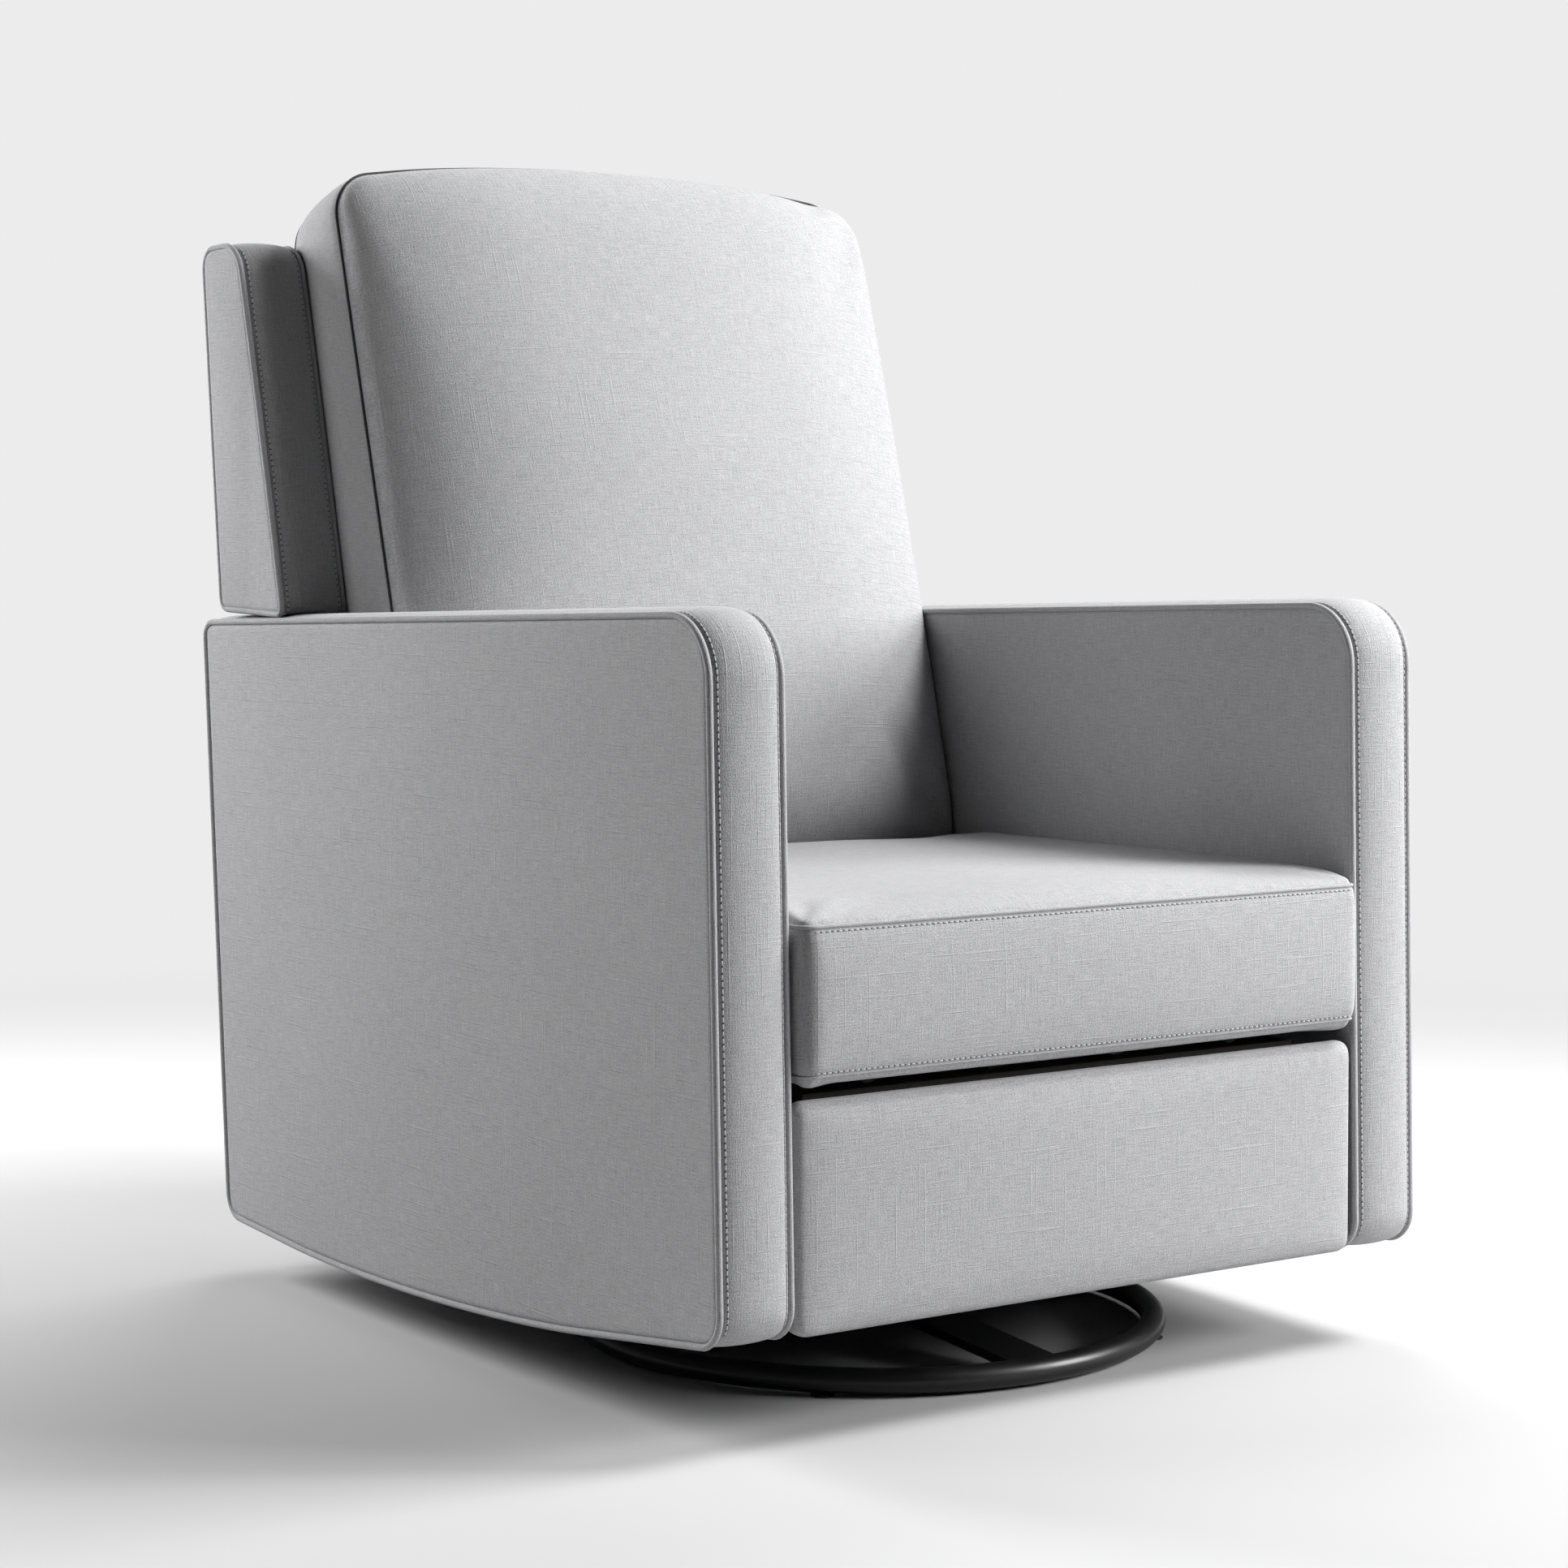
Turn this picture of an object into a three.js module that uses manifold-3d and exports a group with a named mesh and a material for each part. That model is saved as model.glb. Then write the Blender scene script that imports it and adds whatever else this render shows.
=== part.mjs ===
// A swivel glider nursery chair that reclines, in millimetres, +Z up, with the sitter facing -Y.
// A ring base carries a turntable; four hanging links let the chair glide; the seat rides forward
// on four more links when the back tips, and a lazy-tongs linkage pushes the footrest out.
import * as THREE from "three";
import { mergeVertices } from "three/addons/utils/BufferGeometryUtils.js";
import Module from "manifold-3d";

const wasm = await Module();
wasm.setup();

// ---- driving dimensions ------------------------------------------------------------------------

const GAP = 0.3; // between pieces that touch
const BASE_SET_BACK = -133.4; // the turning axis lies this far in front of the chair's middle

const RING_RADIUS = 254.3;
const RING_TUBE = 11.6;
const PAD_THICKNESS = 1.5;
const PAD_RADIUS = 10;
const BAR_HALF_WIDTH = 23.5;
const BAR_THICKNESS = 8;
const BAR_HALF_LENGTH = 241;
const BAR_END_Z = 9.4;
const BAR_CENTRE_Z = 24;
const HUB_TOP = 54;
const SPINDLE_RADIUS = 12;

const PLATE_BOTTOM = 62;
const PLATE_THICKNESS = 5;
const PLATE_HALF_WIDTH = 180;
const PLATE_FRONT = -130;
const PLATE_REAR = 200;

const GLIDE_FRONT_Y = -100;
const GLIDE_REAR_Y = 170;
const GLIDE_TOP_Z = 232;
const GLIDE_BOTTOM_Z = 112;
const BRACKET_X = [168, 174];
const GLIDE_LINK_X = [177, 183];
const PLATFORM_X = [190, 205];
const PLATFORM_Z = [104.3, 122];
const PLATFORM_Y = [-192, 316];

const TUBE_RADIUS = 8;
const TUBE_Z = 96;
const TUBE_FRONT_Y = -181;
const TUBE_REAR_Y = 300;
const TUBE_HALF_LENGTH = 299.5;

const SIDE_PLATE_X = [276, 284];
const SEAT_LINK_X = [266, 272];
const SEAT_LINK_LENGTH = 125;
const SEAT_LINK_LEAN = THREE.MathUtils.degToRad(52);
const SEAT_PIVOT_Z = 240;
const SEAT_PIVOT_FRONT_Y = -90;
const SEAT_PIVOT_REAR_Y = 250;

const RAIL_X = [248, 262];
const RAIL_Z = [225, 258.7];
const RAIL_FRONT = -268;
const RAIL_REAR = 456;
const BOARD_Z = [259, 271];
const SPRING_Z = [271.3, 275.3];
const SPRING_PLACES = { outer_left: -195, inner_left: -65, inner_right: 65, outer_right: 195 };

const BACK_PIVOT = [440, 300];
const STILE_X = [264.3, 288];
const BACK_CUSHION_HALF_WIDTH = 294;
const BACK_PANEL_HALF_WIDTH = 298;

const TONG_LENGTH = 155; // between the end pivots of one link
const TONG_ANGLE = THREE.MathUtils.degToRad(80); // from the line of travel, when folded
const TONG_TILT = THREE.MathUtils.degToRad(3); // of the line of travel above level
const TONG_TIP = [-252, 246]; // where the footrest hangs, when folded
const TONG_OUTER_X = [236, 242];
const TONG_INNER_X = [229, 235];
const LUG_X = [220, 228];
const TONG_HALF_WIDTH = 7;

const ARM_INNER = 300.75;
const ARM_OUTER = 370;
const ARM_FOAM = 24; // padding over the board inside
const ARM_BOARD_CLEARANCE = 1;
const ARM_BOARD_SHRINK = 30; // how much smaller the board is than the arm all round
const WING_INNER = 302;
const SEAT_HALF_WIDTH = 296;
const SEAT_CUSHION_REAR = 240;

const PIVOT_RADIUS = 4;
const PIVOT_PLAY = 0.5;
const HEAD_RADIUS = 7;
const HEAD_THICKNESS = 2;
const ROUND_SIDES = 12;
const FILLET_STEPS = 4;

// ---- materials ---------------------------------------------------------------------------------

const finish = (color, roughness, metalness) =>
  new THREE.MeshStandardMaterial({ color, roughness, metalness });
const linen = finish(0xb9b6b0, 0.95, 0);
const blackPaint = finish(0x101012, 0.45, 0.2);
const zincSteel = finish(0x9a9da1, 0.4, 1);
const timber = finish(0xc9a878, 0.7, 0);
const softPlastic = finish(0x2b2b2b, 0.6, 0);

// ---- shape helpers -----------------------------------------------------------------------------

const X = new THREE.Vector3(1, 0, 0);
const Y = new THREE.Vector3(0, 1, 0);
const Z = new THREE.Vector3(0, 0, 1);
const SIDE_VIEW = new THREE.Matrix4().makeBasis(Y, Z, X);

// A shape from its corners, each [across, up, cut], where cut is how far back from the corner
// its rounding starts.
function outline(corners) {
  const points = corners.map(([across, up]) => new THREE.Vector2(across, up));
  return new THREE.Shape(points.flatMap((corner, i) => roundedCorner(points, i, corners[i][2])));
}

function roundedCorner(points, i, cut) {
  const corner = points[i];
  if (!cut) return [corner];
  const before = points.at(i - 1).clone().sub(corner).setLength(cut).add(corner);
  const after = points[(i + 1) % points.length].clone().sub(corner).setLength(cut).add(corner);
  return new THREE.QuadraticBezierCurve(before, corner, after).getPoints(FILLET_STEPS);
}

function punch(shape, [across, up], radius) {
  shape.holes.push(new THREE.Path().absarc(across, up, radius, 0, 2 * Math.PI));
}

function extruded(shape, depth) {
  const options = { depth, bevelEnabled: false, curveSegments: ROUND_SIDES / 2 };
  return new THREE.ExtrudeGeometry(shape, options);
}

// A shape drawn in side view, across = Y and up = Z, as thick as the range in X.
function sidePlate(shape, [low, high]) {
  return extruded(shape, high - low).applyMatrix4(SIDE_VIEW).translate(low, 0, 0);
}

// A shape drawn from above, across = X and up = Y, as thick as the range in Z.
function flatPlate(shape, [low, high]) {
  return extruded(shape, high - low).translate(0, 0, low);
}

function block([x0, x1], [y0, y1], [z0, z1]) {
  const geometry = new THREE.BoxGeometry(x1 - x0, y1 - y0, z1 - z0);
  return geometry.translate((x0 + x1) / 2, (y0 + y1) / 2, (z0 + z1) / 2);
}

function lathed(profile, sides) {
  const points = profile.map(([radius, z]) => new THREE.Vector2(radius, z));
  return new THREE.LatheGeometry(points, sides).rotateX(Math.PI / 2);
}

// The range from inner to outer, counted outwards on one side of the chair: -1 left, 1 right.
function onSide(side, [inner, outer]) {
  return side > 0 ? [inner, outer] : [-outer, -inner];
}

// A rivet along X, from x = from to x = to on the given side, with a head past its far end.
function rivet(side, from, to, [y, z]) {
  const away = Math.sign(to - from);
  const length = Math.abs(to - from);
  const shank = PIVOT_RADIUS;
  const rim = length + HEAD_THICKNESS;
  const profile = [[0, 0], [shank, 0], [shank, length], [HEAD_RADIUS, length], [HEAD_RADIUS, rim], [0, rim]];
  const geometry = lathed(profile, ROUND_SIDES).rotateY((side * away * Math.PI) / 2);
  return geometry.translate(side * from, y, z);
}

function toSolid(geometry) {
  const plain = geometry.index ? geometry.toNonIndexed() : geometry;
  const bare = new THREE.BufferGeometry().setAttribute("position", plain.getAttribute("position"));
  const merged = mergeVertices(bare, 1e-3);
  const vertProperties = merged.getAttribute("position").array;
  const triVerts = new Uint32Array(merged.index.array);
  return new wasm.Manifold(new wasm.Mesh({ numProp: 3, vertProperties, triVerts }));
}

function toGeometry(solid) {
  const { vertProperties, triVerts } = solid.getMesh();
  const geometry = new THREE.BufferGeometry();
  geometry.setAttribute("position", new THREE.BufferAttribute(vertProperties, 3));
  return geometry.setIndex(new THREE.BufferAttribute(triVerts, 1));
}

const joined = (first, ...others) =>
  toGeometry(others.reduce((solid, other) => solid.add(toSolid(other)), toSolid(first)));
const cut = (first, ...others) =>
  toGeometry(others.reduce((solid, other) => solid.subtract(toSolid(other)), toSolid(first)));

// A flat link with round ends between two pivots, drawn in side view.
function linkShape([y0, z0], [y1, z1], halfWidth) {
  const turn = Math.atan2(z1 - z0, y1 - y0);
  const shape = new THREE.Shape();
  shape.absarc(y1, z1, halfWidth, turn - Math.PI / 2, turn + Math.PI / 2);
  shape.absarc(y0, z0, halfWidth, turn + Math.PI / 2, turn + (3 * Math.PI) / 2);
  return shape;
}

function link(side, layer, ends, halfWidth, holes, rivets) {
  const shape = linkShape(...ends, halfWidth);
  holes.forEach((at) => punch(shape, at, PIVOT_RADIUS + PIVOT_PLAY));
  const pins = rivets.map(({ at, from, to }) => rivet(side, from, to, at));
  return joined(sidePlate(shape, onSide(side, layer)), ...pins);
}

// ---- the chair and its groups ------------------------------------------------------------------

const chair = new THREE.Group();
chair.position.y = BASE_SET_BACK;
const SIDES = { left: -1, right: 1 };

function add(name, geometry, material) {
  const mesh = new THREE.Mesh(geometry, material);
  mesh.name = name;
  chair.add(mesh);
}

function addPair(name, makeGeometry, material) {
  for (const [word, side] of Object.entries(SIDES)) add(`${name}_${word}`, makeGeometry(side), material);
}

// ---- ring base ---------------------------------------------------------------------------------

function baseRing() {
  const centreZ = PAD_THICKNESS + GAP + RING_TUBE;
  const section = Array.from({ length: 11 }, (_, i) => {
    const turn = (i / 10) * 2 * Math.PI;
    return [RING_RADIUS + RING_TUBE * Math.cos(turn), centreZ + RING_TUBE * Math.sin(turn)];
  });
  return lathed(section, 48);
}

function barShape() {
  const knee = 60;
  const top = BAR_THICKNESS;
  return outline([
    [-BAR_HALF_LENGTH, BAR_END_Z],
    [-knee, BAR_CENTRE_Z],
    [knee, BAR_CENTRE_Z],
    [BAR_HALF_LENGTH, BAR_END_Z],
    [BAR_HALF_LENGTH, BAR_END_Z + top],
    [knee, BAR_CENTRE_Z + top],
    [-knee, BAR_CENTRE_Z + top],
    [-BAR_HALF_LENGTH, BAR_END_Z + top],
  ]);
}

// Each bar loses half its thickness where the other crosses it.
function bar(lapLow, lapHigh) {
  const width = [-BAR_HALF_WIDTH, BAR_HALF_WIDTH];
  const lap = [-BAR_HALF_WIDTH - GAP, BAR_HALF_WIDTH + GAP];
  return cut(sidePlate(barShape(), width), block([-50, 50], lap, [lapLow, lapHigh]));
}

function hub() {
  const foot = BAR_CENTRE_Z + BAR_THICKNESS + GAP;
  const profile = [
    [0, foot],
    [58, foot],
    [58, foot + 5],
    [32, foot + 8],
    [32, HUB_TOP - 5],
    [70, HUB_TOP - 4],
    [70, HUB_TOP],
    [SPINDLE_RADIUS, HUB_TOP],
    [SPINDLE_RADIUS, PLATE_BOTTOM + PLATE_THICKNESS + 6],
    [0, PLATE_BOTTOM + PLATE_THICKNESS + 6],
  ];
  return lathed(profile, 24);
}

function bearing() {
  const low = HUB_TOP + GAP;
  const high = PLATE_BOTTOM - GAP;
  return lathed([[20, low], [66, low], [66, high], [20, high], [20, low]], 24);
}

const LAP_Z = BAR_CENTRE_Z + BAR_THICKNESS / 2;
add("base_ring", baseRing(), blackPaint);
add("base_bar_long", bar(0, LAP_Z + GAP / 2), blackPaint);
add("base_bar_cross", bar(LAP_Z - GAP / 2, 100).rotateZ(Math.PI / 2), blackPaint);
add("base_hub", hub(), blackPaint);
add("swivel_bearing", bearing(), zincSteel);
for (const [place, turn] of Object.entries({ rear_right: 45, rear_left: 135, front_left: 225, front_right: 315 })) {
  const angle = THREE.MathUtils.degToRad(turn);
  const profile = [[0, 0], [PAD_RADIUS, 0], [PAD_RADIUS, PAD_THICKNESS], [0, PAD_THICKNESS]];
  const pad = lathed(profile, 16);
  pad.translate(RING_RADIUS * Math.cos(angle), RING_RADIUS * Math.sin(angle), 0);
  add(`floor_pad_${place}`, pad, softPlastic);
}

// ---- turntable and glide links -----------------------------------------------------------------

function swivelPlate() {
  const shape = outline([
    [-PLATE_HALF_WIDTH, PLATE_FRONT, 25],
    [PLATE_HALF_WIDTH, PLATE_FRONT, 25],
    [PLATE_HALF_WIDTH, PLATE_REAR, 25],
    [-PLATE_HALF_WIDTH, PLATE_REAR, 25],
  ]);
  punch(shape, [0, 0], SPINDLE_RADIUS + PIVOT_PLAY);
  return flatPlate(shape, [PLATE_BOTTOM, PLATE_BOTTOM + PLATE_THICKNESS]);
}

function glideBracket(side, y) {
  const foot = PLATE_BOTTOM + PLATE_THICKNESS + GAP;
  const shape = outline([
    [y - 28, foot],
    [y + 28, foot],
    [y + 13, GLIDE_TOP_Z + 12, 10],
    [y - 13, GLIDE_TOP_Z + 12, 10],
  ]);
  punch(shape, [y, GLIDE_TOP_Z], PIVOT_RADIUS + PIVOT_PLAY);
  const flange = block(onSide(side, [140, BRACKET_X[1]]), [y - 28, y + 28], [foot, foot + 5]);
  return joined(sidePlate(shape, onSide(side, BRACKET_X)), flange);
}

function glideLink(side, y) {
  const top = [y, GLIDE_TOP_Z];
  const bottom = [y, GLIDE_BOTTOM_Z];
  const [inner, outer] = GLIDE_LINK_X;
  return link(side, GLIDE_LINK_X, [bottom, top], 10, [], [
    { at: top, from: inner, to: BRACKET_X[0] - 1 },
    { at: bottom, from: outer, to: PLATFORM_X[1] + 1 },
  ]);
}

add("swivel_plate", swivelPlate(), blackPaint);
for (const [place, y] of Object.entries({ front: GLIDE_FRONT_Y, rear: GLIDE_REAR_Y })) {
  addPair(`glide_bracket_${place}`, (side) => glideBracket(side, y), blackPaint);
  addPair(`glide_link_${place}`, (side) => glideLink(side, y), zincSteel);
}

// ---- chair frame, arms and rear panel ----------------------------------------------------------

const SEAT_LINK_REACH = SEAT_LINK_LENGTH * Math.sin(SEAT_LINK_LEAN);
const SEAT_LINK_RISE = SEAT_LINK_LENGTH * Math.cos(SEAT_LINK_LEAN);
const seatLinkFoot = (y) => [y - SEAT_LINK_REACH, SEAT_PIVOT_Z - SEAT_LINK_RISE];

function platformRail(side) {
  const shape = outline([
    [PLATFORM_Y[0], PLATFORM_Z[0]],
    [PLATFORM_Y[1], PLATFORM_Z[0]],
    [PLATFORM_Y[1], PLATFORM_Z[1]],
    [PLATFORM_Y[0], PLATFORM_Z[1]],
  ]);
  [GLIDE_FRONT_Y, GLIDE_REAR_Y].forEach((y) => punch(shape, [y, GLIDE_BOTTOM_Z], PIVOT_RADIUS + PIVOT_PLAY));
  return sidePlate(shape, onSide(side, PLATFORM_X));
}

function crossTube(y) {
  const tube = new THREE.CylinderGeometry(TUBE_RADIUS, TUBE_RADIUS, 2 * TUBE_HALF_LENGTH, ROUND_SIDES);
  return tube.rotateZ(Math.PI / 2).translate(0, y, TUBE_Z);
}

function mechanismPlate(side) {
  const low = TUBE_Z + TUBE_RADIUS + GAP;
  const front = seatLinkFoot(SEAT_PIVOT_FRONT_Y);
  const rear = seatLinkFoot(SEAT_PIVOT_REAR_Y);
  const waist = 135;
  const shape = outline([
    [front[0] - 18, low],
    [TUBE_REAR_Y + 16, low],
    [TUBE_REAR_Y + 16, waist, 8],
    [rear[0] + 40, waist],
    [rear[0] + 14, rear[1] + 14, 10],
    [rear[0] - 14, rear[1] + 14, 10],
    [rear[0] - 40, waist],
    [front[0] + 40, waist],
    [front[0] + 14, front[1] + 14, 10],
    [front[0] - 18, front[1] + 14, 10],
  ]);
  [front, rear].forEach((at) => punch(shape, at, PIVOT_RADIUS + PIVOT_PLAY));
  return sidePlate(shape, onSide(side, SIDE_PLATE_X));
}

// The arm in side view, drawn in by inset all round; its sole is a shallow curve.
function armShape(inset, soleDrop) {
  const heel = new THREE.Vector2(512 - inset, 53 - soleDrop);
  const toe = new THREE.Vector2(-272 + inset, 85 - soleDrop);
  const sole = new THREE.QuadraticBezierCurve(heel, new THREE.Vector2(150, 35 - soleDrop), toe);
  const curve = sole.getPoints(8).map(({ x, y }) => [x, y]);
  return outline([
    [-307 + inset, 91 - soleDrop, 18],
    [-288.5 + inset, 650 - inset, 48],
    [580.5 - inset, 622 - inset, 12],
    [538.5 - inset, 55 - soleDrop, 20],
    ...curve,
  ]);
}

const ARM_BOARD = [ARM_INNER + ARM_FOAM, ARM_OUTER - ARM_FOAM];

function armCover(side) {
  const pocket = [ARM_BOARD[0] - ARM_BOARD_CLEARANCE, ARM_BOARD[1] + ARM_BOARD_CLEARANCE];
  const whole = sidePlate(armShape(0, 0), onSide(side, [ARM_INNER, ARM_OUTER]));
  return cut(whole, sidePlate(armShape(ARM_FOAM, 60), onSide(side, pocket)));
}

function armBoard(side) {
  return sidePlate(armShape(ARM_BOARD_SHRINK, -ARM_BOARD_CLEARANCE), onSide(side, ARM_BOARD));
}

function rearPanel() {
  const shape = outline([[523, 62], [533, 62], [556, 365], [546, 365]]);
  return sidePlate(shape, [1 - ARM_INNER, ARM_INNER - 1]);
}

addPair("platform_rail", platformRail, blackPaint);
add("cross_tube_front", crossTube(TUBE_FRONT_Y), blackPaint);
add("cross_tube_rear", crossTube(TUBE_REAR_Y), blackPaint);
addPair("recline_side_plate", mechanismPlate, blackPaint);
addPair("arm_board", armBoard, timber);
addPair("arm_cover", armCover, linen);
add("rear_lower_panel", rearPanel(), linen);

// ---- seat links and seat carriage --------------------------------------------------------------

const seatLink = (side, y) => {
  const top = [y, SEAT_PIVOT_Z];
  const foot = seatLinkFoot(y);
  const [inner, outer] = SEAT_LINK_X;
  return link(side, SEAT_LINK_X, [foot, top], 10, [], [
    { at: top, from: inner, to: RAIL_X[0] - 1 },
    { at: foot, from: outer, to: SIDE_PLATE_X[1] + 1 },
  ]);
};

// Folded lazy tongs: travel points out along the footrest's path, and lift points up across it.
const travel = new THREE.Vector2(-Math.cos(TONG_TILT), Math.sin(TONG_TILT));
const lift = new THREE.Vector2(Math.sin(TONG_TILT), Math.cos(TONG_TILT));
const TONG_STEP = TONG_LENGTH * Math.cos(TONG_ANGLE);
const TONG_HEIGHT = TONG_LENGTH * Math.sin(TONG_ANGLE);

// A pivot of the folded tongs: step 0 at the seat, 2 at the footrest; high or low row.
function tongPivot(step, high) {
  const at = new THREE.Vector2(...TONG_TIP);
  at.addScaledVector(travel, (step - 2) * TONG_STEP);
  if (!high) at.addScaledVector(lift, -TONG_HEIGHT);
  return at.toArray();
}

function seatRail(side) {
  const [pivotY, pivotZ] = BACK_PIVOT;
  const shape = outline([
    [RAIL_FRONT, RAIL_Z[0]],
    [pivotY - 10, RAIL_Z[0], 20],
    [RAIL_REAR, pivotZ - 20, 16],
    [RAIL_REAR, pivotZ + 14, 12],
    [pivotY - 16, pivotZ + 14, 12],
    [pivotY - 45, RAIL_Z[1]],
    [RAIL_FRONT, RAIL_Z[1]],
  ]);
  const pivots = [[SEAT_PIVOT_FRONT_Y, SEAT_PIVOT_Z], [SEAT_PIVOT_REAR_Y, SEAT_PIVOT_Z], BACK_PIVOT];
  [...pivots, tongPivot(0, true)].forEach((at) => punch(shape, at, PIVOT_RADIUS + PIVOT_PLAY));
  return sidePlate(shape, onSide(side, RAIL_X));
}

function crossBoard(yRange) {
  return block([-RAIL_X[1], RAIL_X[1]], yRange, BOARD_Z);
}

// A zigzag spring strip from the front board to the rear board.
function spring(x) {
  const count = 18;
  const start = -258;
  const pitch = 33;
  const reach = 20;
  const half = 6;
  const edge = (offset) =>
    Array.from({ length: count + 1 }, (_, i) => [x + offset + (i % 2 ? reach : -reach), start + i * pitch]);
  return flatPlate(outline([...edge(half), ...edge(-half).reverse()]), SPRING_Z);
}

function seatCushion() {
  const shape = outline([
    [-300, 279, 8],
    [-313, 292, 6],
    [-309, 412, 22],
    [-60, 421, 60],
    [SEAT_CUSHION_REAR, 409, 20],
    [SEAT_CUSHION_REAR, 279, 10],
  ]);
  return sidePlate(shape, [-SEAT_HALF_WIDTH, SEAT_HALF_WIDTH]);
}

for (const [place, y] of Object.entries({ front: SEAT_PIVOT_FRONT_Y, rear: SEAT_PIVOT_REAR_Y })) {
  addPair(`seat_link_${place}`, (side) => seatLink(side, y), zincSteel);
}
addPair("seat_rail", seatRail, blackPaint);
add("seat_board_front", crossBoard([-266, -215]), timber);
add("seat_board_rear", crossBoard([300, 345]), timber);
for (const [place, x] of Object.entries(SPRING_PLACES)) add(`seat_spring_${place}`, spring(x), zincSteel);
add("seat_cushion", seatCushion(), linen);

// ---- backrest ----------------------------------------------------------------------------------

function backStile(side) {
  const [pivotY, pivotZ] = BACK_PIVOT;
  const shape = outline([
    [pivotY - 18, pivotZ - 16, 10],
    [pivotY + 16, pivotZ - 16, 10],
    [563, 958],
    [526, 958],
  ]);
  const pin = rivet(side, STILE_X[0], RAIL_X[0] - 1, BACK_PIVOT);
  return joined(sidePlate(shape, onSide(side, STILE_X)), pin);
}

function backRail(corners) {
  const half = STILE_X[0] - GAP;
  return sidePlate(outline(corners), [-half, half]);
}

// The rear panel of the back, with a return over the top of the stiles.
function outsideBack() {
  const shape = outline([
    [506, 330],
    [516, 330],
    [577, 962, 6],
    [574, 976, 6],
    [534, 976, 3],
    [532, 964, 3],
    [567, 964, 4],
  ]);
  return sidePlate(shape, [-BACK_PANEL_HALF_WIDTH, BACK_PANEL_HALF_WIDTH]);
}

function wing(side) {
  const shape = outline([
    [421, 633, 8],
    [545, 634, 10],
    [578.5, 978, 20],
    [508, 980, 26],
  ]);
  return sidePlate(shape, onSide(side, [WING_INNER, ARM_OUTER]));
}

function backCushion() {
  const shape = outline([
    [290, 345, 12],
    [385, 345, 10],
    [528, 985],
    [543, 1052, 24],
    [448, 1075, 36],
    [398, 985, 20],
    [268, 720],
    [252, 560],
    [246, 430, 20],
    [264, 370, 16],
  ]);
  return sidePlate(shape, [-BACK_CUSHION_HALF_WIDTH, BACK_CUSHION_HALF_WIDTH]);
}

addPair("back_stile", backStile, timber);
add("back_rail_top", backRail([[518, 916], [554, 916], [561, 956], [526, 956]]), timber);
add("back_rail_bottom", backRail([[446, 326], [476, 326], [482, 366], [452, 366]]), timber);
add("outside_back_panel", outsideBack(), linen);
addPair("wing", wing, linen);
add("back_cushion", backCushion(), linen);

// ---- footrest ----------------------------------------------------------------------------------

// Outer-layer links run from a high pivot to the next low one; inner-layer links cross them.
function tongLink(side, step, isOuter) {
  const ends = [tongPivot(step, isOuter), tongPivot(step + 1, !isOuter)];
  const middle = [(ends[0][0] + ends[1][0]) / 2, (ends[0][1] + ends[1][1]) / 2];
  const layer = isOuter ? TONG_OUTER_X : TONG_INNER_X;
  if (!isOuter) {
    const holes = step === 0 ? [middle, ends[1]] : [ends[0], middle];
    const rivets = step === 0 ? [] : [{ at: ends[1], from: layer[0], to: LUG_X[0] - 1 }];
    return link(side, layer, ends, TONG_HALF_WIDTH, holes, rivets);
  }
  const inwards = { from: layer[0], to: TONG_INNER_X[0] - 1 };
  const shared = step === 0 ? ends[1] : ends[0];
  const rivets = [{ at: middle, ...inwards }, { at: shared, ...inwards }];
  if (step === 0) rivets.push({ at: ends[0], from: layer[1], to: RAIL_X[1] + 1 });
  return link(side, layer, ends, TONG_HALF_WIDTH, [], rivets);
}

// A plywood board with a lug on each side for its hinge.
function footrestBoard() {
  const board = block([-280, 280], [-287, -275], [98, 262]);
  const lugs = Object.values(SIDES).map((side) => {
    const [y, z] = TONG_TIP;
    const shape = outline([
      [-275.5, z - 40],
      [y + 8, z - 8, 8],
      [y + 8, z + 8, 8],
      [-275.5, z + 8],
    ]);
    punch(shape, TONG_TIP, PIVOT_RADIUS + PIVOT_PLAY);
    return sidePlate(shape, onSide(side, LUG_X));
  });
  return joined(board, ...lugs);
}

function footrestPad() {
  const shape = outline([
    [-287.3, 87, 0],
    [-311, 87, 14],
    [-308, 270, 14],
    [-287.3, 270, 0],
  ]);
  return sidePlate(shape, [-SEAT_HALF_WIDTH, SEAT_HALF_WIDTH]);
}

addPair("tong_link_1", (side) => tongLink(side, 0, true), zincSteel);
addPair("tong_link_2", (side) => tongLink(side, 0, false), zincSteel);
addPair("tong_link_3", (side) => tongLink(side, 1, true), zincSteel);
addPair("tong_link_4", (side) => tongLink(side, 1, false), zincSteel);
add("footrest_board", footrestBoard(), timber);
add("footrest_pad", footrestPad(), linen);

export default chair;
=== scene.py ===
# A swivel glider nursery chair: the upholstery, finishes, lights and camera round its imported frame.
# Pads are drawn in millimetres from the turning axis and the floor, and become metres in the frame.
import math

import bmesh
import bpy
import numpy as np
from mathutils import Euler, Matrix, Vector
from mathutils.bvhtree import BVHTree


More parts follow.
